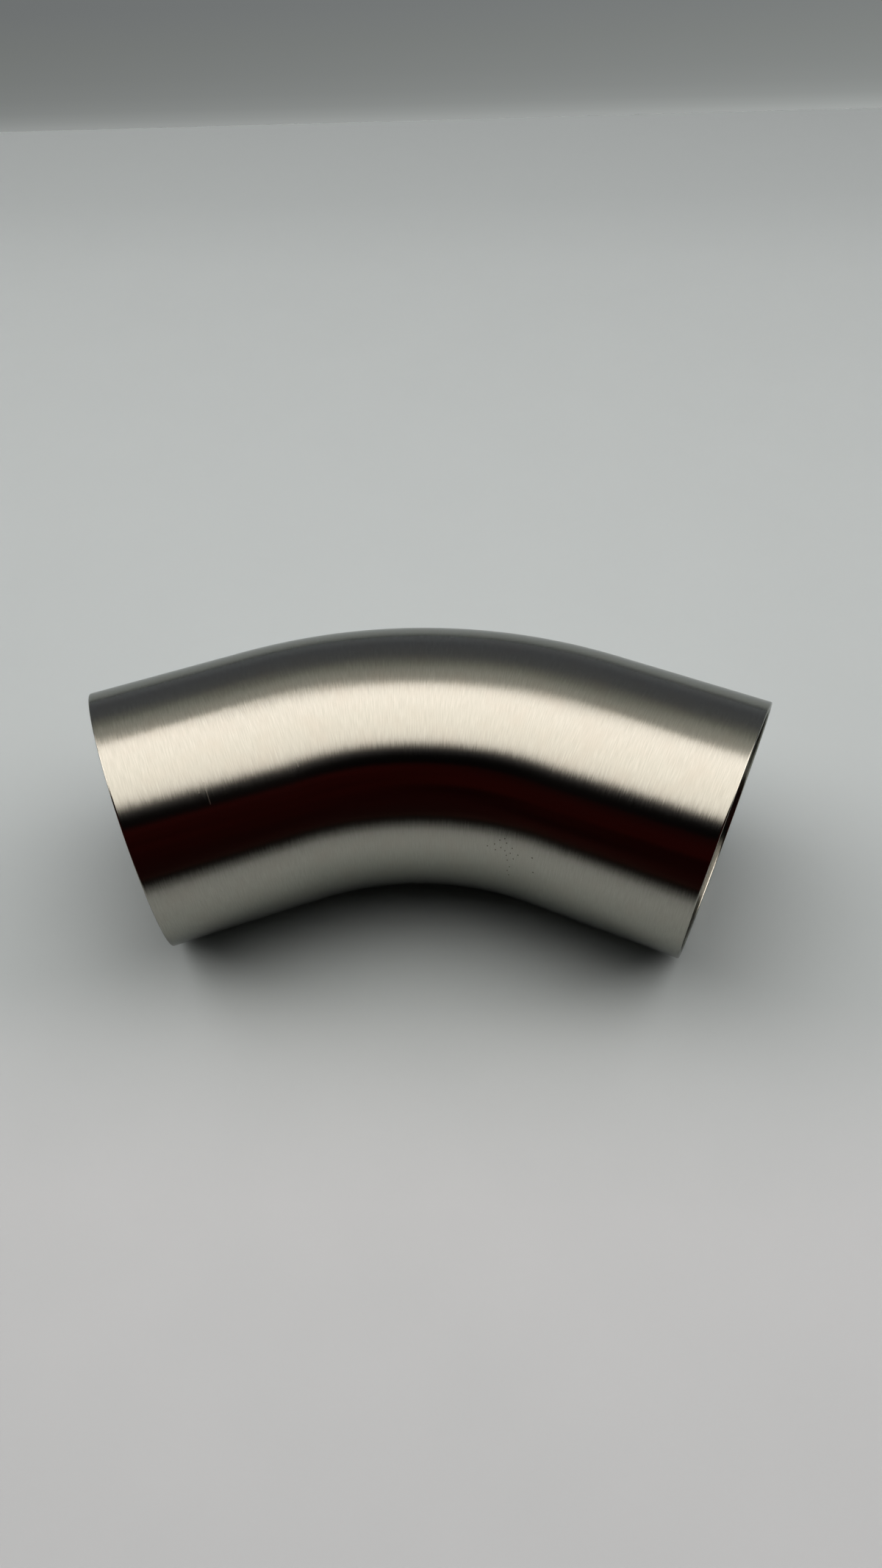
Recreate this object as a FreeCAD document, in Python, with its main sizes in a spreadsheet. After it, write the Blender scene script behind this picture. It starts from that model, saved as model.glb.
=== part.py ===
import FreeCAD, Part
import math
import os

import Sketcher

# Forty-five degree weld bend for three inch tube
#
# The fitting is one length of thin stainless tube: a circular bend with a straight stretch
# at each end, where it is welded or clamped to the next tube. The ends are cut square and
# their sharp edges are broken.
#
# The bend lies on its side, as it does on a table. +Z is up and +X runs from the left end
# to the right end. The outside of the bend faces +Y, and both ends lean towards -Y. The
# origin is on the table, under the middle of the bend's bounding box.

NODE = "pipe_bend"

# Driving dimensions, in millimetres, and in degrees for the angle
#
# The tangent length is one straight stretch. With the bend radius it sets the distance from
# a weld face to the point where the two straight centrelines would cross, 92.1 mm.
SIZES = {
    "outside_diameter": "76.2",
    "wall_thickness": "1.65",
    "bend_radius": "114.3",
    "bend_angle": "45",
    "tangent_length": "44.73",
    "edge_break": "0.2",
}

# Names that a sketch gives to its own origin and upright axis
SKETCH_ORIGIN = -1
SKETCH_UPRIGHT = -2

# Names that a sketch gives to the points of a line or an arc
START = 1
END = 2
CENTRE = 3


def make_size_sheet(doc):
    """The spreadsheet with one named cell for each driving dimension."""
    sheet = doc.addObject("Spreadsheet::Sheet", "Sizes")
    for row, (alias, value) in enumerate(SIZES.items(), start=1):
        sheet.set(f"A{row}", alias)
        sheet.set(f"B{row}", value)
        sheet.setAlias(f"B{row}", alias)
    doc.recompute()
    return sheet


def new_sketch(body, name, role):
    """An empty sketch that lies flat on one of the body's own base planes."""
    plane = next(item for item in body.Origin.OriginFeatures if item.Role == role)
    sketch = body.newObject("Sketcher::SketchObject", name)
    sketch.AttachmentSupport = [(plane, "")]
    sketch.MapMode = "FlatFace"
    return sketch


def fix(sketch, *constraint):
    """A geometric constraint on the sketch."""
    return sketch.addConstraint(Sketcher.Constraint(*constraint))


def measure(sketch, name, expression, *constraint):
    """A named dimension on the sketch that follows the spreadsheet."""
    index = fix(sketch, *constraint)
    sketch.renameConstraint(index, name)
    sketch.setExpression(f"Constraints.{name}", expression)


def draw_centreline(body, sheet):
    """The tube's centreline: a straight, the arc of the bend, and a straight.

    The arc passes through the sketch's origin, which is the middle of the bend, and its
    centre is straight below. Both straights carry on from the arc without a kink.
    """
    sketch = new_sketch(body, "Centreline", "XY_Plane")
    turn = math.radians(sheet.bend_angle)
    across = math.cos(turn / 2) * sheet.tangent_length
    down = math.sin(turn / 2) * sheet.tangent_length
    bend_centre = FreeCAD.Vector(0, -sheet.bend_radius, 0)
    circle = Part.Circle(bend_centre, FreeCAD.Vector(0, 0, 1), sheet.bend_radius)
    top = math.pi / 2
    bend = Part.ArcOfCircle(circle, top - turn / 2, top + turn / 2)
    right_bend_end = bend.StartPoint
    left_bend_end = bend.EndPoint
    right_end = right_bend_end + FreeCAD.Vector(across, -down, 0)
    left_end = left_bend_end + FreeCAD.Vector(-across, -down, 0)

    left = sketch.addGeometry(Part.LineSegment(left_end, left_bend_end))
    arc = sketch.addGeometry(bend)
    right = sketch.addGeometry(Part.LineSegment(right_bend_end, right_end))

    fix(sketch, "PointOnObject", arc, CENTRE, SKETCH_UPRIGHT)
    fix(sketch, "PointOnObject", SKETCH_ORIGIN, START, arc)
    fix(sketch, "Horizontal", arc, START, arc, END)
    fix(sketch, "Tangent", left, END, arc, END)
    fix(sketch, "Tangent", arc, START, right, START)
    fix(sketch, "Equal", left, right)
    measure(sketch, "bend_radius", "Sizes.bend_radius", "Radius", arc, sheet.bend_radius)
    measure(sketch, "bend_angle", "Sizes.bend_angle * 1 deg", "Angle", arc, turn)
    tangent = ("Distance", right, sheet.tangent_length)
    measure(sketch, "tangent_length", "Sizes.tangent_length", *tangent)
    return sketch


def draw_section(body, sheet):
    """The tube's ring section, square to the centreline at the middle of the bend."""
    sketch = new_sketch(body, "Section", "YZ_Plane")
    bore_diameter = sheet.outside_diameter - 2 * sheet.wall_thickness
    rings = (
        ("outside", sheet.outside_diameter, "Sizes.outside_diameter"),
        ("bore", bore_diameter, "Sizes.outside_diameter - 2 * Sizes.wall_thickness"),
    )
    for name, diameter, expression in rings:
        circle = Part.Circle(FreeCAD.Vector(), FreeCAD.Vector(0, 0, 1), diameter / 2)
        ring = sketch.addGeometry(circle)
        fix(sketch, "Coincident", ring, CENTRE, SKETCH_ORIGIN, START)
        measure(sketch, name, expression, "Diameter", ring, diameter)
    return sketch


def sweep_tube(body, centreline, section):
    """The tube with sharp ends: its ring section carried along the centreline."""
    tube = body.newObject("PartDesign::AdditivePipe", "Tube")
    tube.Profile = section
    tube.Spine = (centreline, [])
    return tube


def rim_edges(tube):
    """Names of the edges round the two flat end faces, outside and inside."""
    ends = [face for face in tube.Shape.Faces if isinstance(face.Surface, Part.Plane)]
    rims = [edge for face in ends for edge in face.Edges]
    return [
        f"Edge{number}"
        for number, edge in enumerate(tube.Shape.Edges, start=1)
        if any(edge.isSame(rim) for rim in rims)
    ]


def break_rims(body, tube):
    """Take the sharp edge off both rims, outside and inside."""
    rims = body.newObject("PartDesign::Chamfer", "Rims")
    rims.Base = (tube, rim_edges(tube))
    rims.setExpression("Size", "Sizes.edge_break")
    body.Tip = rims


def place_on_table(body):
    """Rest the bend on the table, with its bounding box centred over the origin.

    The middle of the bend's centreline is half a diameter from the tube's furthest point
    towards +Y. Towards -Y the furthest point is on the inner side of a rim, where the
    broken edge begins.
    """
    back = "Sizes.outside_diameter / 2"
    half_turn = "Sizes.bend_angle / 2 * 1 deg"
    front = (
        f"Sizes.bend_radius * (1 - cos({half_turn}))"
        f" + (Sizes.tangent_length - Sizes.edge_break) * sin({half_turn})"
        f" + Sizes.outside_diameter / 2 * cos({half_turn})"
    )
    body.setExpression("Placement.Base.y", f"({front} - {back}) / 2")
    body.setExpression("Placement.Base.z", "Sizes.outside_diameter / 2")


def make_bend(doc):
    """The weld bend, as one body."""
    sheet = make_size_sheet(doc)
    body = doc.addObject("PartDesign::Body", "Bend")
    body.Label = NODE
    centreline = draw_centreline(body, sheet)
    section = draw_section(body, sheet)
    tube = sweep_tube(body, centreline, section)
    doc.recompute()
    break_rims(body, tube)
    place_on_table(body)
    doc.recompute()
    return body


def check(doc, body):
    """Stop if a feature failed, or if the bend isn't one sound solid."""
    for item in doc.Objects:
        if "Invalid" in item.State or "Error" in item.State:
            raise RuntimeError(f"{item.Label} failed: {item.State}")
    shape = body.Shape
    if shape.isNull() or not shape.isValid() or len(shape.Solids) != 1:
        raise RuntimeError(f"{body.Label} is not one sound solid")


doc = FreeCAD.newDocument("weld_bend")
pipe_bend = make_bend(doc)
check(doc, pipe_bend)
os.makedirs("parts", exist_ok=True)
pipe_bend.Shape.exportStep(f"parts/{pipe_bend.Label}.step")
box = pipe_bend.Shape.optimalBoundingBox(False)
print(f"{pipe_bend.Label}: {box.XLength:.2f} x {box.YLength:.2f} x {box.ZLength:.2f} mm")
print(f"{pipe_bend.Shape.Volume:.1f} cubic millimetres")
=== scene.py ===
"""Looks of the forty-five degree pipe bend: brushed stainless steel on a pale table.

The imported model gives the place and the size. This script models the bend again as one clean
mesh, with the grain's own coordinates on it, and lights it with one large soft light overhead.
Lengths are in metres unless a name says millimetres.
"""

import logging
import math
from dataclasses import dataclass, field
from enum import Enum

import bmesh
import bpy
from mathutils import Matrix, Vector


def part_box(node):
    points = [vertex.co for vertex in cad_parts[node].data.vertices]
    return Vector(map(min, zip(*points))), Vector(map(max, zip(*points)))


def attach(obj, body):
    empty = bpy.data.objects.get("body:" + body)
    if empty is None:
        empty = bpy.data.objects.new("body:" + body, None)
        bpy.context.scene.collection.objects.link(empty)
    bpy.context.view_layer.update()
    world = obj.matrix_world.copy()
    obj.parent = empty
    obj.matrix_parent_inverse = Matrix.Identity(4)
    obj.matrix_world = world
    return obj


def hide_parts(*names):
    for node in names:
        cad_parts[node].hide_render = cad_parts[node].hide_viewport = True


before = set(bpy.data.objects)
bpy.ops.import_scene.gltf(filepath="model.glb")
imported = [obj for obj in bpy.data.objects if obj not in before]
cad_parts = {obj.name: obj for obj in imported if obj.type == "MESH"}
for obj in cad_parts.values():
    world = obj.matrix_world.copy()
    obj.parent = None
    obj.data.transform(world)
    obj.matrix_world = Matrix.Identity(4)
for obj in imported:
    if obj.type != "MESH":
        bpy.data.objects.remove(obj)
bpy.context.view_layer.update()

MM = 0.001

BODY = "root"
NODE = "pipe_bend"

WELD_DISTANCE = 0.001 * MM
SHARP_ANGLE = math.radians(60)

# The value in a normal map that stands for no lean
NO_LEAN = 0.5

# Name of the map on the bend's mesh that its finish is laid out on, in metres
GRAIN_MAP = "grain"

# Name of the map on a flat sheet of the stage: its second axis runs from front to back
SHEET_MAP = "sheet"

# Linear red, green, blue and alpha
Colour = tuple[float, float, float, float]

# Places in rising order, each with its sRGB hex colour
Tones = tuple[tuple[float, str], ...]

log = logging.getLogger("pipe_bend")


class Side(Enum):
    """An end of the bend: the sign of its X."""

    LEFT = -1
    RIGHT = 1


class Rays(Enum):
    """A kind of ray, by its word in the names of an object's visibility settings."""

    CAMERA = "camera"
    DIFFUSE = "diffuse"
    GLOSSY = "glossy"
    TRANSMISSION = "transmission"
    SHADOW = "shadow"


def linear(hex_colour: str) -> Colour:
    """Turn an sRGB hex colour into the linear values that a shader reads.

    Args:
        hex_colour: Six hex digits after a hash sign.

    Returns:
        Red, green, blue and an alpha of one.
    """
    values = [int(hex_colour[i : i + 2], 16) / 255 for i in (1, 3, 5)]
    # The numbers below are those of the sRGB standard
    red, green, blue = (
        v / 12.92 if v <= 0.04045 else ((v + 0.055) / 1.055) ** 2.4 for v in values
    )
    return red, green, blue, 1.0


class NodeTree:
    """A shader's node tree, filled one node at a time."""

    def __init__(self, tree: bpy.types.NodeTree) -> None:
        """Empty the tree that comes with a new material or world."""
        self.tree = tree
        tree.nodes.clear()

    def add(
        self, kind: str, inputs: dict[str | int, object] | None = None, **settings: object
    ) -> bpy.types.Node:
        """Add a node, set it up and link what leads into it.

        Args:
            kind: The node's type, without the word ShaderNode in front.
            inputs: For each input, by name or place, a value or the socket that feeds it.
            **settings: Properties of the node itself.

        Returns:
            The new node.
        """
        node = self.tree.nodes.new("ShaderNode" + kind)
        for name, value in settings.items():
            setattr(node, name, value)
        for key, value in (inputs or {}).items():
            if isinstance(value, bpy.types.NodeSocket):
                self.tree.links.new(value, node.inputs[key])
            else:
                node.inputs[key].default_value = value
        return node


def fill_ramp(ramp: bpy.types.ColorRamp, stops: list[tuple[float, Colour]]) -> None:
    """Set a colour ramp's stops.

    Args:
        ramp: A new ramp, which has two stops.
        stops: Place and colour of each stop, in rising order.
    """
    while len(ramp.elements) < len(stops):
        ramp.elements.new(1.0)
    for element, (position, colour) in zip(ramp.elements, stops):
        element.position = position
        element.color = colour


def new_material(name: str) -> tuple[bpy.types.Material, NodeTree]:
    """Make a material with an empty node tree.

    Args:
        name: The real finish that the material stands for.

    Returns:
        The material and its tree.
    """
    material = bpy.data.materials.new(name)
    material.use_nodes = True
    return material, NodeTree(material.node_tree)


def largest(tree: NodeTree, values: list[bpy.types.NodeSocket]) -> bpy.types.NodeSocket:
    """Take the largest of some values, which joins masks.

    Args:
        tree: The tree that gets the nodes.
        values: The sockets that give the values.

    Returns:
        The socket that gives the largest.
    """
    joined = values[0]
    for value in values[1:]:
        joined = tree.add("Math", {0: joined, 1: value}, operation="MAXIMUM").outputs[0]
    return joined


def ends_of(profile: tuple | list) -> tuple[float, float]:
    """The first and the last Y of a profile of places and values."""
    return profile[0][0], profile[-1][0]


def ramp_across(tree: NodeTree, profile: list[tuple[float, Colour]]) -> bpy.types.Node:
    """Vary a colour over a flat sheet, from its front edge to its back edge.

    Args:
        tree: The tree that gets the nodes.
        profile: Pairs of Y and a linear colour, from front to back.

    Returns:
        The colour ramp that gives the colour.
    """
    front, back = ends_of(profile)
    place = tree.add("UVMap", uv_map=SHEET_MAP)
    across = tree.add("SeparateXYZ", {0: place.outputs[0]})
    ramp = tree.add("ValToRGB", {0: across.outputs["Y"]})
    stops = [((y - front) / (back - front), colour) for y, colour in profile]
    fill_ramp(ramp.color_ramp, stops)
    return ramp


def settle_order(mesh: bmesh.types.BMesh) -> None:
    """Put edges and faces in the order of their vertices, so that each run gives the same mesh.

    Some operators make them in an order that changes from run to run.

    Args:
        mesh: The mesh to put in order.
    """
    mesh.verts.index_update()
    for items in (mesh.edges, mesh.faces):
        in_order = sorted(items, key=lambda item: sorted(vert.index for vert in item.verts))
        for place, item in enumerate(in_order):
            item.index = place
        items.sort()


def new_object(name: str, mesh: bmesh.types.BMesh) -> bpy.types.Object:
    """Turn a finished mesh into an object at the origin of the scene.

    Args:
        name: The object's name.
        mesh: The mesh, which is freed.

    Returns:
        The object, unturned and unscaled.
    """
    settle_order(mesh)
    data = bpy.data.meshes.new(name)
    mesh.to_mesh(data)
    mesh.free()
    made = bpy.data.objects.new(name, data)
    bpy.context.scene.collection.objects.link(made)
    return made


def edges_of(geometry: list) -> list[bmesh.types.BMEdge]:
    """The edges among the geometry that an operator returns."""
    return [item for item in geometry if isinstance(item, bmesh.types.BMEdge)]


def verts_of(geometry: list) -> list[bmesh.types.BMVert]:
    """The vertices among the geometry that an operator returns."""
    return [item for item in geometry if isinstance(item, bmesh.types.BMVert)]


def draw_out(
    mesh: bmesh.types.BMesh, edges: list[bmesh.types.BMEdge], move: Vector
) -> list[bmesh.types.BMEdge]:
    """Draw a straight wall out of a chain of edges.

    Args:
        mesh: The mesh that holds the edges.
        edges: The chain.
        move: How far, and in which direction.

    Returns:
        The edges of the moved chain.
    """
    drawn = bmesh.ops.extrude_edge_only(mesh, edges=edges)["geom"]
    bmesh.ops.translate(mesh, verts=verts_of(drawn), vec=move)
    return edges_of(drawn)


def lay_sheet(
    mesh: bmesh.types.BMesh, place: Matrix, half_width: float, half_depth: float, steps: int = 1
) -> list[bmesh.types.BMVert]:
    """Add one flat rectangle, with map coordinates that run from 0 to 1 across it.

    Args:
        mesh: The mesh that gets it.
        place: Where its middle is and how it is turned. Unturned, it is level and faces up.
        half_width: How far it reaches to the left and to the right of its middle.
        half_depth: How far it reaches to the front and to the back of its middle.
        steps: How many strips it has from left to right.

    Returns:
        Its vertices.
    """
    maps = mesh.loops.layers.uv
    if SHEET_MAP not in maps:
        maps.new(SHEET_MAP)
    scale = Matrix.Diagonal((half_width, half_depth, 1, 1))
    made = bmesh.ops.create_grid(
        mesh, x_segments=steps, y_segments=1, size=1.0, matrix=place @ scale, calc_uvs=True
    )
    return made["verts"]


def level_sheet(
    mesh: bmesh.types.BMesh,
    half_width: float,
    depth: tuple[float, float],
    height: float,
    steps: int = 1,
) -> list[bmesh.types.BMVert]:
    """Lay one level rectangle, centred from left to right.

    Args:
        mesh: The mesh that gets it.
        half_width: How far it reaches to the left and to the right.
        depth: Its lowest and its highest Y.
        height: Its Z.
        steps: How many strips it has from left to right.

    Returns:
        Its vertices.
    """
    front, back = depth
    place = Matrix.Translation((0, (front + back) / 2, height))
    return lay_sheet(mesh, place, half_width, (back - front) / 2, steps)


def show_only_to(thing: bpy.types.Object, seen_by: Rays) -> None:
    """Hide an object from every kind of ray but one."""
    for kind in Rays:
        setattr(thing, f"visible_{kind.value}", kind is seen_by)


@dataclass(frozen=True)
class Scratch:
    """A deeper stroke of the grain: its place along the tube and its two ends round it."""

    along_mm: float
    start_mm: float
    end_mm: float


@dataclass(frozen=True)
class BrushedStainless:
    """Stainless steel brushed round the tube with a fine abrasive belt, lightly used.

    The eye sees a satin metal. Reflections smear out a little, and each brush stroke leans
    its own way and is a shade lighter or duller, so the bright parts are finely streaked
    round the tube and the edge of a reflection is ragged. Handling has left faint, warmer
    clouds. A few deeper strokes catch the light, and on the inner side of the bend there is
    a cluster of small dark pits.

    Places are millimetres on the straightened tube: along it from the middle of the bend,
    and round it from the top, with less than zero on the inner side. The strokes, scratches
    and pits are drawn a few times as wide as the real ones, which are too fine to show.
    """

    name: str = "Brushed stainless steel"
    colour: str = "#B9B9B2"
    dull_colour: str = "#A8A8A1"
    stain_colour: str = "#B0ADA5"
    grazing_colour: str = "#E3E4E6"
    pit_colour: str = "#6A6761"
    roughness: float = 0.18
    scratch_roughness: float = 0.30
    anisotropy: float = 0.7
    stroke_width_mm: float = 0.30
    stroke_length_mm: float = 4.5
    stroke_detail: float = 2.0
    stroke_raggedness: float = 0.6
    stain_mm: float = 9.0
    stain_detail: float = 3.0
    # The values of the noise where a cloud begins and where it is strongest
    stain_noise: tuple[float, float] = (0.45, 0.75)
    stain_share: float = 0.4
    lean_along: float = 0.02
    lean_round: float = 0.018
    scratch_width_mm: float = 0.25
    scratches: tuple[Scratch, ...] = (
        Scratch(-66.3, -28.0, -21.9),
        Scratch(-68.2, -24.4, -22.6),
        Scratch(-41.0, -25.0, -22.4),
    )
    pit_width_mm: float = 0.4
    pits: tuple[tuple[float, float], ...] = (
        (26.8, -49.9),
        (29.6, -48.7),
        (30.2, -50.6),
        (31.5, -47.0),
        (32.3, -49.4),
        (33.4, -46.1),
        (34.4, -47.4),
        (34.1, -50.1),
        (36.9, -48.6),
        (36.4, -50.5),
        (34.9, -51.6),
        (35.5, -53.3),
        (37.9, -52.2),
        (36.7, -55.7),
        (35.9, -57.6),
        (36.6, -59.4),
        (39.6, -50.3),
        (45.3, -49.6),
        (46.2, -54.8),
    )

    def strokes(self, tree: NodeTree, place: bpy.types.NodeSocket) -> bpy.types.Node:
        """The grain's strokes, as noise that is drawn out round the tube.

        Args:
            tree: The tree that gets the nodes.
            place: The place on the straightened tube.

        Returns:
            The noise node: its factor is the strokes' shade, and its colour is their lean.
        """
        fineness = (1 / (self.stroke_width_mm * MM), 1 / (self.stroke_length_mm * MM), 1)
        space = tree.add("VectorMath", {0: place, 1: fineness}, operation="MULTIPLY")
        return tree.add(
            "TexNoise",
            {
                "Vector": space.outputs[0],
                "Scale": 1.0,
                "Detail": self.stroke_detail,
                "Roughness": self.stroke_raggedness,
            },
            noise_dimensions="2D",
        )

    def stains(self, tree: NodeTree, place: bpy.types.NodeSocket) -> bpy.types.NodeSocket:
        """How strongly the surface is clouded, from 0 to the largest share.

        Args:
            tree: The tree that gets the nodes.
            place: The place on the straightened tube.

        Returns:
            The socket that gives the share.
        """
        clouds = tree.add(
            "TexNoise",
            {"Vector": place, "Scale": 1 / (self.stain_mm * MM), "Detail": self.stain_detail},
            noise_dimensions="2D",
        )
        faintest, strongest = self.stain_noise
        share = tree.add(
            "MapRange",
            {
                "Value": clouds.outputs["Fac"],
                "From Min": faintest,
                "From Max": strongest,
                "To Max": self.stain_share,
            },
        )
        return share.outputs[0]

    def scratched(self, tree: NodeTree, place: bpy.types.NodeSocket) -> bpy.types.NodeSocket:
        """One inside a scratch and zero elsewhere.

        Args:
            tree: The tree that gets the nodes.
            place: The place on the straightened tube.

        Returns:
            The socket that gives the value.
        """
        split = tree.add("SeparateXYZ", {0: place})
        half_width = self.scratch_width_mm / 2 * MM
        masks = []
        for scratch in self.scratches:
            line = scratch.along_mm * MM
            middle = (scratch.start_mm + scratch.end_mm) / 2 * MM
            reach = (scratch.end_mm - scratch.start_mm) / 2 * MM
            beside = tree.add(
                "Math", {0: split.outputs["X"], 1: line, 2: half_width}, operation="COMPARE"
            )
            within = tree.add(
                "Math", {0: split.outputs["Y"], 1: middle, 2: reach}, operation="COMPARE"
            )
            inside = tree.add(
                "Math", {0: beside.outputs[0], 1: within.outputs[0]}, operation="MULTIPLY"
            )
            masks.append(inside.outputs[0])
        return largest(tree, masks)

    def pitted(self, tree: NodeTree, place: bpy.types.NodeSocket) -> bpy.types.NodeSocket:
        """One inside a pit and zero elsewhere.

        Args:
            tree: The tree that gets the nodes.
            place: The place on the straightened tube.

        Returns:
            The socket that gives the value.
        """
        radius = self.pit_width_mm / 2 * MM
        masks = []
        for along_mm, round_mm in self.pits:
            middle = (along_mm * MM, round_mm * MM, 0)
            away = tree.add("VectorMath", {0: place, 1: middle}, operation="DISTANCE")
            inside = tree.add("Math", {0: away.outputs["Value"], 1: radius}, operation="LESS_THAN")
            masks.append(inside.outputs[0])
        return largest(tree, masks)

    def lean(self, tree: NodeTree, strokes: bpy.types.Node) -> bpy.types.NodeSocket:
        """Each stroke's own lean, as a normal.

        Args:
            tree: The tree that gets the nodes.
            strokes: The strokes' noise node.

        Returns:
            The socket that gives the normal.
        """
        reach = (self.lean_along, self.lean_round, 0)
        least = (NO_LEAN - self.lean_along / 2, NO_LEAN - self.lean_round / 2, 1)
        tilt = tree.add(
            "VectorMath",
            {0: strokes.outputs["Color"], 1: reach, 2: least},
            operation="MULTIPLY_ADD",
        )
        normal = tree.add(
            "NormalMap",
            {"Strength": 1.0, "Color": tilt.outputs[0]},
            space="TANGENT",
            uv_map=GRAIN_MAP,
        )
        return normal.outputs[0]

    def tone(
        self, tree: NodeTree, place: bpy.types.NodeSocket, strokes: bpy.types.Node
    ) -> bpy.types.NodeSocket:
        """The steel's own colour, with its streaks, clouds and pits.

        Args:
            tree: The tree that gets the nodes.
            place: The place on the straightened tube.
            strokes: The strokes' noise node.

        Returns:
            The socket that gives the colour.
        """
        streaked = tree.add(
            "MixRGB",
            {
                0: strokes.outputs["Fac"],
                1: linear(self.colour),
                2: linear(self.dull_colour),
            },
        )
        stained = tree.add(
            "MixRGB",
            {0: self.stains(tree, place), 1: streaked.outputs[0], 2: linear(self.stain_colour)},
        )
        colour = tree.add(
            "MixRGB",
            {0: self.pitted(tree, place), 1: stained.outputs[0], 2: linear(self.pit_colour)},
        )
        return colour.outputs[0]

    def material(self) -> bpy.types.Material:
        """The finish as a material.

        Returns:
            The new material.
        """
        material, tree = new_material(self.name)
        place = tree.add("UVMap", uv_map=GRAIN_MAP).outputs[0]
        strokes = self.strokes(tree, place)
        tangent = tree.add("Tangent", direction_type="UV_MAP", uv_map=GRAIN_MAP)
        roughness = tree.add(
            "MapRange",
            {
                "Value": self.scratched(tree, place),
                "To Min": self.roughness,
                "To Max": self.scratch_roughness,
            },
        )
        steel = tree.add(
            "BsdfPrincipled",
            {
                "Base Color": self.tone(tree, place, strokes),
                "Metallic": 1.0,
                "Specular Tint": linear(self.grazing_colour),
                "Roughness": roughness.outputs[0],
                "Anisotropic": self.anisotropy,
                "Normal": self.lean(tree, strokes),
                "Tangent": tangent.outputs[0],
            },
        )
        tree.add("OutputMaterial", {"Surface": steel.outputs[0]})
        return material


@dataclass
class PipeBend:
    """The bend: a circular arc of thin tube with a straight stretch at each end.

    The rounding of its four rims is drawn wider than the real one, so that it shows.
    """

    outside_diameter: float = 76.2 * MM
    wall: float = 1.65 * MM
    bend_radius: float = 114.3 * MM
    bend_angle: float = math.radians(45)
    tangent_length: float = 44.73 * MM
    edge_break: float = 0.4 * MM
    facets_round: int = 288
    facets_along: int = 60
    rim_steps: int = 4
    finish: BrushedStainless = field(default_factory=BrushedStainless)

    def __post_init__(self) -> None:
        """Take the bend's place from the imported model's box, which is centred on the origin."""
        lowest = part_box(NODE)[0]
        self.outer_radius = self.outside_diameter / 2
        self.bore_radius = self.outer_radius - self.wall
        crown_radius = self.bend_radius + self.outer_radius
        self.arc_centre = Vector((0, -lowest.y - crown_radius, self.outer_radius))
        self.half_turn = self.bend_angle / 2

    def outward(self, turn: float) -> Vector:
        """The direction from the arc's centre to the centreline, turned from the middle."""
        return Vector((math.sin(turn), math.cos(turn), 0))

    def forward(self, turn: float) -> Vector:
        """The centreline's direction, from left to right, turned from the middle."""
        return Vector((math.cos(turn), -math.sin(turn), 0))

    def end_centre(self, side: Side) -> Vector:
        """The middle of an end's opening.

        Args:
            side: The end.

        Returns:
            Its place in the scene.
        """
        turn = side.value * self.half_turn
        bend_end = self.arc_centre + self.outward(turn) * self.bend_radius
        return bend_end + self.forward(turn) * side.value * self.tangent_length

    def sweep_wall(
        self, mesh: bmesh.types.BMesh, radius: float
    ) -> dict[Side, list[bmesh.types.BMEdge]]:
        """Carry a circle from the left end, round the bend, to the right end.

        Args:
            mesh: The mesh that gets the wall.
            radius: The wall's distance from the centreline.

        Returns:
            The edges of the circle at each end.
        """
        left_turn = -self.half_turn
        upright = Matrix.Rotation(math.pi / 2, 4, "Y")
        turned = Matrix.Rotation(-left_turn, 4, "Z") @ upright
        ring = bmesh.ops.create_circle(
            mesh,
            segments=self.facets_round,
            radius=radius,
            matrix=Matrix.Translation(self.end_centre(Side.LEFT)) @ turned,
        )
        # A dict's keys, unlike a set, keep the edges in the same order each run
        start = list(dict.fromkeys(edge for vert in ring["verts"] for edge in vert.link_edges))
        bend_start = draw_out(mesh, start, self.forward(left_turn) * self.tangent_length)
        swept = bmesh.ops.spin(
            mesh,
            geom=bend_start,
            cent=self.arc_centre,
            axis=(0, 0, -1),
            angle=self.bend_angle,
            steps=self.facets_along,
        )
        bend_end = edges_of(swept["geom_last"])
        last = draw_out(mesh, bend_end, self.forward(self.half_turn) * self.tangent_length)
        return {Side.LEFT: start, Side.RIGHT: last}

    def close_end(
        self, mesh: bmesh.types.BMesh, side: Side, rim: list[bmesh.types.BMEdge]
    ) -> None:
        """Draw the outer wall's last edges inwards, as far as the bore.

        Args:
            mesh: The mesh that holds both walls.
            side: The end to close.
            rim: The outer wall's edges there.
        """
        inner_rim = verts_of(bmesh.ops.extrude_edge_only(mesh, edges=rim)["geom"])
        share = self.bore_radius / self.outer_radius
        to_centre = Matrix.Translation(-self.end_centre(side))
        bmesh.ops.scale(mesh, verts=inner_rim, vec=(share, share, share), space=to_centre)

    def break_rims(self, mesh: bmesh.types.BMesh) -> None:
        """Round off the four sharp edges, and shade all but their borders smoothly.

        Args:
            mesh: The closed mesh of the bend.
        """
        corners = [edge for edge in mesh.edges if edge.calc_face_angle() > SHARP_ANGLE]
        rounded = bmesh.ops.bevel(
            mesh,
            geom=corners,
            offset=self.edge_break,
            offset_type="OFFSET",
            affect="EDGES",
            segments=self.rim_steps,
            profile=0.5,
            material=-1,
        )
        for face in mesh.faces:
            face.smooth = True
        rims = set(rounded["faces"])
        for edge in mesh.edges:
            edge.smooth = len(rims.intersection(edge.link_faces)) != 1

    def straightened(self, point: Vector) -> Vector:
        """Where a point would be if the tube were straight.

        Args:
            point: A point of the bend.

        Returns:
            The distance along the centreline from the middle of the bend, the distance
            outwards from the centreline, and the distance above it.
        """
        from_centre = point - self.arc_centre
        turn = math.atan2(from_centre.x, from_centre.y)
        turn = min(max(turn, -self.half_turn), self.half_turn)
        beyond = 0.0
        if abs(turn) == self.half_turn:
            beyond = from_centre.dot(self.forward(turn))
        out = from_centre.dot(self.outward(turn)) - self.bend_radius
        return Vector((turn * self.bend_radius + beyond, out, from_centre.z))

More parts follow.
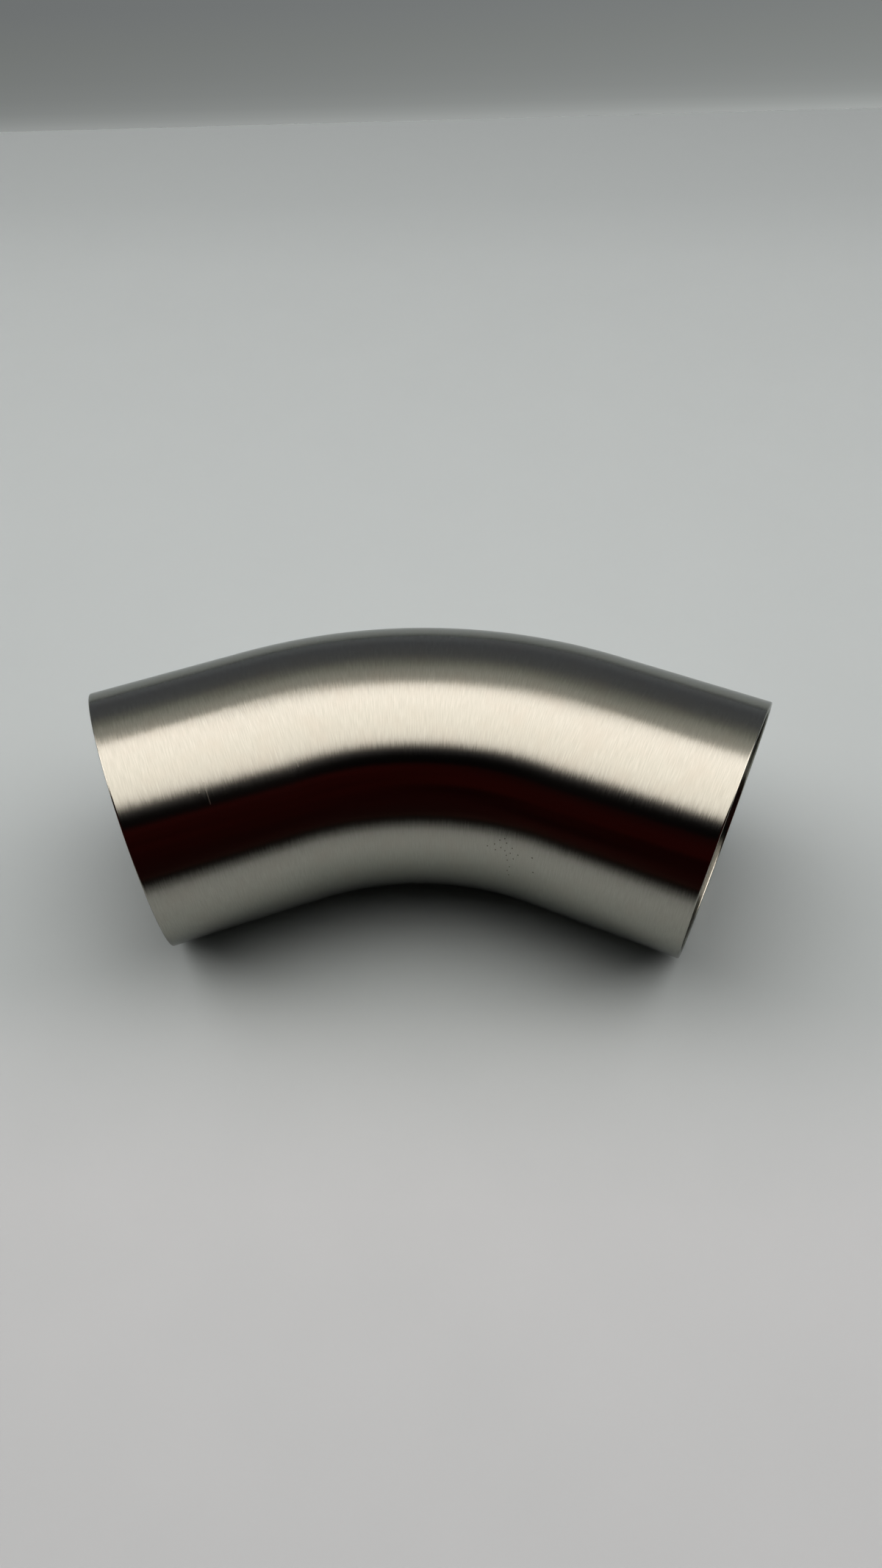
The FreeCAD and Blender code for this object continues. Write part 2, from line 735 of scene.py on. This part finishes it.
    def map_grain(self, mesh: bmesh.types.BMesh) -> None:
        """Lay the finish's map over the straightened tube, in metres.

        The map's first axis runs along the tube, and on over a rim towards the bore. Its
        second axis runs round the tube from the top, with its seam underneath.

        Args:
            mesh: The closed mesh of the bend, with its rims rounded.
        """
        straight = {vert: self.straightened(vert.co) for vert in mesh.verts}
        grain = mesh.loops.layers.uv.new(GRAIN_MAP)
        end = self.half_turn * self.bend_radius + self.tangent_length
        for face in mesh.faces:
            middle = sum((straight[vert] for vert in face.verts), Vector()) / len(face.verts)
            middle_angle = math.atan2(middle.y, middle.z)
            on_rim = abs(middle.x) > end - self.edge_break
            for loop in face.loops:
                along, out, up = straight[loop.vert]
                angle = math.atan2(out, up)
                angle += math.tau * round((middle_angle - angle) / math.tau)
                if on_rim:
                    depth = self.outer_radius - math.hypot(out, up)
                    along += math.copysign(depth, along)
                loop[grain].uv = (along, angle * self.outer_radius)

    def build(self) -> bpy.types.Object:
        """Model the bend as one closed mesh.

        Returns:
            The bend.
        """
        mesh = bmesh.new()
        outside = self.sweep_wall(mesh, self.outer_radius)
        self.sweep_wall(mesh, self.bore_radius)
        for side in Side:
            self.close_end(mesh, side, outside[side])
        bmesh.ops.remove_doubles(mesh, verts=mesh.verts, dist=WELD_DISTANCE)
        bmesh.ops.recalc_face_normals(mesh, faces=mesh.faces)
        self.break_rims(mesh)
        self.map_grain(mesh)
        self.bend = new_object("bend", mesh)
        return self.bend

    def dress(self) -> None:
        """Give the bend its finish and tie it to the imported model."""
        self.bend.data.materials.append(self.finish.material())
        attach(self.bend, BODY)
        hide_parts(NODE)


@dataclass(frozen=True)
class PaleBoard:
    """A pale matt board, as a table top.

    It is faintly mottled. Painted light makes it a little paler in front of the bend, and painted
    shade makes it duller at its far end.
    """

    name: str = "Pale matt board"
    # Painted light: the paler tone in front of the bend. Painted shade: the duller tone at the far
    # end.
    tones: Tones = (
        (-3.0, "#DDE2E5"),
        (-0.11, "#DDE2E5"),
        (-0.04, "#D1D9DB"),
        (0.38, "#D1D9DB"),
        (0.46, "#CCD4D6"),
        (1.3, "#CCD4D6"),
    )
    mottle_colour: str = "#C8D0D2"
    roughness: float = 0.6
    mottle_mm: float = 40.0
    mottle_detail: float = 2.0
    mottle_share: float = 0.2

    def material(self) -> bpy.types.Material:
        """The finish as a material.

        Returns:
            The new material.
        """
        material, tree = new_material(self.name)
        place = tree.add("TexCoord").outputs["Object"]
        mottle = tree.add(
            "TexNoise",
            {"Vector": place, "Scale": 1 / (self.mottle_mm * MM), "Detail": self.mottle_detail},
        )
        share = tree.add(
            "MapRange", {"Value": mottle.outputs["Fac"], "To Max": self.mottle_share}
        )
        tone = ramp_across(tree, [(y, linear(colour)) for y, colour in self.tones])
        colour = tree.add(
            "MixRGB",
            {0: share.outputs[0], 1: tone.outputs[0], 2: linear(self.mottle_colour)},
        )
        board = tree.add(
            "BsdfPrincipled",
            {
                "Base Color": colour.outputs[0],
                "Roughness": self.roughness,
                "Specular IOR Level": 0.0,
            },
        )
        tree.add("OutputMaterial", {"Surface": board.outputs[0]})
        return material


@dataclass
class Table:
    """The pale table top."""

    half_width: float = 3.0
    finish: PaleBoard = field(default_factory=PaleBoard)

    def build(self) -> bpy.types.Object:
        """Model the table top as one flat sheet.

        Returns:
            The table top.
        """
        mesh = bmesh.new()
        level_sheet(mesh, self.half_width, ends_of(self.finish.tones), 0.0)
        self.sheet = new_object("table", mesh)
        return self.sheet

    def dress(self) -> None:
        """Give the table its finish."""
        self.sheet.data.materials.append(self.finish.material())


@dataclass(frozen=True)
class ShadedFinish:
    """An upright surface out of the light, whose light and shade are painted: it glows with a tone
    for each height.
    """

    name: str
    tones: Tones

    def brightness(self, tree: NodeTree, place: bpy.types.NodeSocket) -> bpy.types.NodeSocket:
        """How bright the surface is at a place in the scene, as a factor on its tone."""
        raise NotImplementedError

    def material(self) -> bpy.types.Material:
        """The finish as a material.

        Returns:
            The new material.
        """
        material, tree = new_material(self.name)
        place = tree.add("TexCoord").outputs["Object"]
        up = tree.add("SeparateXYZ", {0: place})
        height = self.tones[-1][0]
        share = tree.add("Math", {0: up.outputs["Z"], 1: height}, operation="DIVIDE")
        ramp = tree.add("ValToRGB", {0: share.outputs[0]})
        fill_ramp(ramp.color_ramp, [(z / height, linear(tone)) for z, tone in self.tones])
        brightness = self.brightness(tree, place)
        # The glow is painted light and shade: a tone for each height, times a brightness factor
        glow = tree.add("Emission", {"Color": ramp.outputs[0], "Strength": brightness})
        tree.add("OutputMaterial", {"Surface": glow.outputs[0]})
        return material


@dataclass(frozen=True)
class ShadedPaper(ShadedFinish):
    """Studio paper whose light and shade are painted: it glows palest where it meets the table, and
    darker further up and to the left.
    """

    name: str = "Studio paper in the shade"
    tones: Tones = (
        (0.000, "#929493"),
        (0.004, "#8B8D8C"),
        (0.009, "#858786"),
        (0.016, "#818382"),
        (0.026, "#7E807F"),
        (0.042, "#7B7D7C"),
        (0.060, "#787A7A"),
        (0.250, "#6C6E6F"),
    )
    left: float = -0.5
    right: float = 0.3
    left_brightness: float = 0.82
    right_brightness: float = 1.03

    def brightness(self, tree: NodeTree, place: bpy.types.NodeSocket) -> bpy.types.NodeSocket:
        """The factor rises from left to right.

        Args:
            tree: The tree that gets the nodes.
            place: The place in the scene.

        Returns:
            The socket that gives the factor.
        """
        split = tree.add("SeparateXYZ", {0: place})
        rising = tree.add(
            "MapRange",
            {
                "Value": split.outputs["X"],
                "From Min": self.left,
                "From Max": self.right,
                "To Min": self.left_brightness,
                "To Max": self.right_brightness,
            },
        )
        return rising.outputs[0]


@dataclass(frozen=True)
class StainedWood(ShadedFinish):
    """Dark red-brown wood in the shade, with long level streaks of grain."""

    name: str = "Stained wood in the shade"
    tones: Tones = (
        (0.06, "#422D28"),
        (0.17, "#3F2420"),
        (0.34, "#3A1B18"),
        (0.64, "#3C1714"),
        (0.98, "#421813"),
        (1.31, "#461915"),
        (1.69, "#491B18"),
    )
    streak_length: float = 1.5
    streak_width: float = 0.11
    streak_detail: float = 3.0
    streak_raggedness: float = 0.6
    # The values of the noise in the darkest and in the brightest streaks
    streak_noise: tuple[float, float] = (0.3, 0.7)
    dark_streak: float = 0.3
    bright_streak: float = 1.65

    def brightness(self, tree: NodeTree, place: bpy.types.NodeSocket) -> bpy.types.NodeSocket:
        """The factor follows the streaks of the grain.

        Args:
            tree: The tree that gets the nodes.
            place: The place in the scene.

        Returns:
            The socket that gives the factor.
        """
        # The minus sign mirrors the streaks from left to right
        fineness = (-1 / self.streak_length, 0, 1 / self.streak_width)
        space = tree.add("VectorMath", {0: place, 1: fineness}, operation="MULTIPLY")
        streaks = tree.add(
            "TexNoise",
            {
                "Vector": space.outputs[0],
                "Scale": 1.0,
                "Detail": self.streak_detail,
                "Roughness": self.streak_raggedness,
            },
        )
        darkest, brightest = self.streak_noise
        factor = tree.add(
            "MapRange",
            {
                "Value": streaks.outputs["Fac"],
                "From Min": darkest,
                "From Max": brightest,
                "To Min": self.dark_streak,
                "To Max": self.bright_streak,
            },
        )
        return factor.outputs[0]


@dataclass
class Backdrop:
    """Paper walls round the table, seen by the camera and left out of reflections."""

    back: float = 0.566
    reach: float = 1.6
    height: float = 3.0
    corner: float = 0.005
    corner_steps: int = 12
    turn: float = math.radians(1.75)
    finish: ShadedPaper = field(default_factory=ShadedPaper)

    def build(self) -> bpy.types.Object:
        """Model the walls as a box with rounded corners, open at the table's side.

        Returns:
            The walls.
        """
        mesh = bmesh.new()
        size = Vector((self.reach, (self.back + self.reach) / 2, self.height / 2))
        place = Matrix.Translation((0, (self.back - self.reach) / 2, self.height / 2))
        turned = Matrix.Rotation(self.turn, 4, "Z") @ place
        bmesh.ops.create_cube(mesh, size=2.0, matrix=turned @ Matrix.Diagonal(size).to_4x4())
        bmesh.ops.bevel(
            mesh,
            geom=mesh.edges,
            offset=self.corner,
            offset_type="OFFSET",
            affect="EDGES",
            segments=self.corner_steps,
            profile=0.5,
            material=-1,
        )
        bmesh.ops.recalc_face_normals(mesh, faces=mesh.faces)
        bmesh.ops.reverse_faces(mesh, faces=mesh.faces)
        floor = [face for face in mesh.faces if all(vert.co.z < MM for vert in face.verts)]
        bmesh.ops.delete(mesh, geom=floor, context="FACES")
        self.walls = new_object("backdrop", mesh)
        return self.walls

    def dress(self) -> None:
        """Give the walls their finish, and let only the camera see them."""
        self.walls.data.materials.append(self.finish.material())
        show_only_to(self.walls, Rays.CAMERA)


@dataclass(frozen=True)
class PaintedShade:
    """Painted shade: a dark brown sheet that thins out towards its near edge, so it darkens the
    table by degrees.
    """

    name: str = "Painted dark brown shade"
    colour: str = "#20120D"
    # How much of the table the painted shade covers, at each Y from front to back
    shade_cover: tuple[tuple[float, float], ...] = (
        (-3.00, 1.0),
        (-1.20, 0.97),
        (-0.54, 0.80),
        (-0.29, 0.44),
        (-0.20, 0.09),
        (-0.15, 0.0),
    )

    def material(self) -> bpy.types.Material:
        """The finish as a material.

        Returns:
            The new material.
        """
        material, tree = new_material(self.name)
        shade_cover = ramp_across(tree, [(y, (share, share, share, 1)) for y, share in self.shade_cover])
        # Where the painted shade thins out, the table shows through
        unshaded = tree.add("BsdfTransparent")
        # The painted shade's dark brown
        cloth = tree.add("BsdfDiffuse", {"Color": linear(self.colour)})
        mixed = tree.add(
            "MixShader", {0: shade_cover.outputs[0], 1: unshaded.outputs[0], 2: cloth.outputs[0]}
        )
        tree.add("OutputMaterial", {"Surface": mixed.outputs[0]})
        return material


@dataclass
class DarkFront:
    """Painted shade over the table's near part, seen only in the steel."""

    half_width: float = 3.0
    lift: float = 0.001
    finish: PaintedShade = field(default_factory=PaintedShade)

    def build(self) -> bpy.types.Object:
        """Model the painted shade as one flat sheet just above the table.

        Returns:
            The sheet.
        """
        mesh = bmesh.new()
        level_sheet(mesh, self.half_width, ends_of(self.finish.shade_cover), self.lift)
        self.sheet = new_object("dark_front", mesh)
        return self.sheet

    def dress(self) -> None:
        """Give the sheet its finish, and let only reflections show it."""
        self.sheet.data.materials.append(self.finish.material())
        show_only_to(self.sheet, Rays.GLOSSY)


@dataclass
class WoodFront:
    """The dim wood across the room in front, seen only in the steel."""

    front: float = -1.6
    half_width: float = 4.0
    top: float = 1.69
    finish: StainedWood = field(default_factory=StainedWood)

    def build(self) -> bpy.types.Object:
        """Model the wood as one upright sheet that faces the table.

        Returns:
            The sheet.
        """
        mesh = bmesh.new()
        middle = Matrix.Translation((0, self.front, self.top / 2))
        upright = Matrix.Rotation(-math.pi / 2, 4, "X")
        lay_sheet(mesh, middle @ upright, self.half_width, self.top / 2)
        self.sheet = new_object("wood_front", mesh)
        return self.sheet

    def dress(self) -> None:
        """Give the sheet its finish, and let only reflections show it."""
        self.sheet.data.materials.append(self.finish.material())
        show_only_to(self.sheet, Rays.GLOSSY)


@dataclass(frozen=True)
class LampCloth:
    """Diffuser cloth over a lamp: bright and warm, with soft edges in front and behind."""

    name: str = "Lit diffuser cloth"
    strength: float = 1.25
    tones: Tones = (
        (-0.72, "#252629"),
        (-0.65, "#36373A"),
        (-0.61, "#524F4E"),
        (-0.55, "#999592"),
        (-0.5, "#CBC5C2"),
        (-0.44, "#E4DEDA"),
        (-0.35, "#EEE8E3"),
        (-0.1, "#F6F0EB"),
        (0.2, "#FDF6F2"),
        (0.33, "#F9F3EF"),
        (0.415, "#E6E0DC"),
        (0.47, "#BFBBB7"),
        (0.52, "#A19D9A"),
    )

    def material(self) -> bpy.types.Material:
        """The finish as a material.

        Returns:
            The new material.
        """
        material, tree = new_material(self.name)
        tone = ramp_across(tree, [(y, linear(colour)) for y, colour in self.tones])
        glow = tree.add("Emission", {"Color": tone.outputs[0], "Strength": self.strength})
        tree.add("OutputMaterial", {"Surface": glow.outputs[0]})
        return material


@dataclass(frozen=True)
class CeilingPaint(LampCloth):
    """Pale ceiling paint that the lamp lights up from below, less and less towards the back."""

    name: str = "Pale ceiling paint"
    strength: float = 1.0
    tones: Tones = (
        (0.3, "#B4B1AE"),
        (0.5, "#B1AEAB"),
        (0.69, "#ADABA7"),
        (0.83, "#A5A4A1"),
        (0.99, "#969692"),
        (1.18, "#868684"),
        (1.41, "#79797A"),
        (1.75, "#6F7074"),
    )


@dataclass(frozen=True)
class SideCloth(LampCloth):
    """Diffuser cloth over a lamp at the side, a little dimmer towards its front edge."""

    strength: float = 2.0
    tones: Tones = ((0.0, "#E7DFDC"), (0.15, "#FFF6F2"), (0.6, "#FFF6F2"))


@dataclass(frozen=True)
class WindowCloth(LampCloth):
    """Pale cloth over a window, evenly lit from behind."""

    strength: float = 2.4
    tones: Tones = ((-0.34, "#FFF6F2"), (0.26, "#FFF6F2"))


@dataclass
class OverheadLight:
    """The large soft light above the table.

    Its cloth isn't stretched straight. The front edge comes forward in the middle, and the
    back edge hangs in shallow waves. Where it doesn't light the table, it is seen only in
    the steel.
    """

    name: str = "overhead_light"
    height: float = 1.0
    half_width: float = 1.05
    turn: float = math.radians(-3.5)
    steps: int = 240
    front_dip: float = 0.040
    dip_middle: float = -0.08
    dip_width: float = 0.15
    wave_depth: float = 0.125
    wave_length: float = 0.32
    wave_crest: float = 0.088
    lights_table: bool = True
    finish: LampCloth = field(default_factory=LampCloth)

    def front_shift(self, x: float) -> float:
        """How far back the front edge is at an X, from where it comes furthest forward."""
        return self.front_dip * (1 - math.exp(-(((x - self.dip_middle) / self.dip_width) ** 2)))

    def back_shift(self, x: float) -> float:
        """How far back the back edge is at an X, from the troughs of its waves."""
        phase = math.tau * (x - self.wave_crest) / self.wave_length
        return self.wave_depth * (1 + math.cos(phase)) / 2

    def build(self) -> bpy.types.Object:
        """Model the light as one lit sheet that faces down.

        Returns:
            The sheet.
        """
        mesh = bmesh.new()
        front, back = ends_of(self.finish.tones)
        verts = level_sheet(mesh, self.half_width, (front, back), self.height, self.steps)
        bmesh.ops.rotate(mesh, verts=verts, matrix=Matrix.Rotation(self.turn, 3, "Z"))
        middle = (front + back) / 2
        for vert in verts:
            unturned = vert.co.y - math.sin(self.turn) * vert.co.x
            shift = self.front_shift if unturned < middle else self.back_shift
            vert.co.y += shift(vert.co.x)
        bmesh.ops.reverse_faces(mesh, faces=mesh.faces)
        self.sheet = new_object(self.name, mesh)
        return self.sheet

    def dress(self) -> None:
        """Light the sheet and hide it from the camera."""
        self.sheet.data.materials.append(self.finish.material())
        self.sheet.visible_camera = False
        if not self.lights_table:
            show_only_to(self.sheet, Rays.GLOSSY)


@dataclass
class Ceiling(OverheadLight):
    """The wide ceiling above the light, lit from below and seen only in the steel."""

    name: str = "ceiling"
    height: float = 1.05
    half_width: float = 3.0
    front_dip: float = 0.0
    wave_depth: float = 0.33
    lights_table: bool = False
    finish: LampCloth = field(default_factory=CeilingPaint)


@dataclass
class SideLights:
    """Two soft lights, far off at the left and right.

    Where they don't light the table, they are seen only in the steel.
    """

    name: str = "side_lights"
    distance: float = 1.4
    bottom: float = 0.50
    top: float = 0.95
    lights_table: bool = True
    finish: LampCloth = field(default_factory=SideCloth)

    def build(self) -> bpy.types.Object:
        """Model the lights as two upright sheets that face each other.

        Returns:
            Both sheets, as one object.
        """
        mesh = bmesh.new()
        front, back = ends_of(self.finish.tones)
        for side in Side:
            middle = (side.value * self.distance, (front + back) / 2, (self.bottom + self.top) / 2)
            upright = Matrix.Rotation(-side.value * math.pi / 2, 4, "Y")
            place = Matrix.Translation(middle) @ upright
            lay_sheet(mesh, place, (self.top - self.bottom) / 2, (back - front) / 2)
        self.sheets = new_object(self.name, mesh)
        return self.sheets

    def dress(self) -> None:
        """Light the sheets and hide them from the camera."""
        self.sheets.data.materials.append(self.finish.material())
        self.sheets.visible_camera = False
        if not self.lights_table:
            show_only_to(self.sheets, Rays.GLOSSY)


@dataclass
class SideWindows(SideLights):
    """Two nearer lights, seen only in the steel, that make the rims shine."""

    name: str = "side_windows"
    distance: float = 1.2
    bottom: float = 0.30
    top: float = 0.98
    lights_table: bool = False
    finish: LampCloth = field(default_factory=WindowCloth)


@dataclass(frozen=True)
class Surroundings:
    """The room round the table: nearly dark in front and overhead, and brighter behind.

    Its tones follow the angle from the front horizon over the top, in degrees.
    """

    tones: Tones = (
        (0.0, "#101010"),
        (20.0, "#0B0C0D"),
        (44.0, "#07090B"),
        (116.0, "#07090B"),
        (118.0, "#BDB8B8"),
        (124.0, "#B8B2B2"),
        (130.0, "#AEA9A8"),
        (136.0, "#9C9898"),
        (142.0, "#848182"),
        (150.0, "#727376"),
        (168.0, "#6F7075"),
        (180.0, "#7F8185"),
    )

    def build(self) -> None:
        """Set the scene's world."""
        world = bpy.data.worlds.new("Surroundings")
        world.use_nodes = True
        bpy.context.scene.world = world
        tree = NodeTree(world.node_tree)
        place = tree.add("TexCoord")
        way = tree.add("SeparateXYZ", {0: place.outputs["Generated"]})
        forward = tree.add("Math", {0: way.outputs["Y"], 1: -1.0}, operation="MULTIPLY")
        height = tree.add("Math", {0: way.outputs["Z"]}, operation="ABSOLUTE")
        angle = tree.add(
            "Math", {0: height.outputs[0], 1: forward.outputs[0]}, operation="ARCTAN2"
        )
        share = tree.add("Math", {0: angle.outputs[0], 1: math.pi}, operation="DIVIDE")
        ramp = tree.add("ValToRGB", {0: share.outputs[0]})
        stops = [(degrees / 180, linear(colour)) for degrees, colour in self.tones]
        fill_ramp(ramp.color_ramp, stops)
        glow = tree.add("Background", {"Color": ramp.outputs[0], "Strength": 1.0})
        tree.add("OutputWorld", {"Surface": glow.outputs[0]})


@dataclass(frozen=True)
class Viewpoint:
    """The camera, where the photograph was taken from, and the toning of its picture."""

    picture_height_px: float = 2133.0
    focal_length_px: float = 1408.14
    axis_below_middle_px: float = 103.43
    sensor_mm: float = 36.0
    place_mm: tuple[float, float, float] = (19.235, -188.511, 278.336)
    heading_deg: float = 4.98661
    elevation_deg: float = 55.78754
    roll_deg: float = 2.96788
    view_transform: str = "Standard"
    look: str = "Very High Contrast"

    def build(self) -> None:
        """Make the camera, hand it to the scene and set the toning."""
        data = bpy.data.cameras.new("camera")
        data.sensor_width = self.sensor_mm
        data.lens = self.sensor_mm * self.focal_length_px / self.picture_height_px
        data.shift_y = self.axis_below_middle_px / self.picture_height_px
        camera = bpy.data.objects.new("camera", data)
        heading = Matrix.Rotation(math.radians(self.heading_deg), 4, "Z")
        lift = Matrix.Rotation(math.radians(90 - self.elevation_deg), 4, "X")
        roll = Matrix.Rotation(math.radians(-self.roll_deg), 4, "Z")
        camera.matrix_world = Matrix.Translation(Vector(self.place_mm) * MM) @ heading @ lift @ roll
        scene = bpy.context.scene
        scene.collection.objects.link(camera)
        scene.camera = camera
        scene.view_settings.view_transform = self.view_transform
        scene.view_settings.look = self.look


def main() -> None:
    """Build and dress everything, in order."""
    logging.basicConfig(level=logging.INFO, format="%(name)s: %(message)s")
    Viewpoint().build()
    parts = (
        PipeBend(),
        Table(),
        Backdrop(),
        DarkFront(),
        WoodFront(),
        OverheadLight(),
        Ceiling(),
        SideLights(),
        SideWindows(),
    )
    for part in parts:
        made = part.build()
        part.dress()
        log.info("%s has %d faces", made.name, len(made.data.polygons))
    Surroundings().build()


if __name__ == "__main__":
    main()
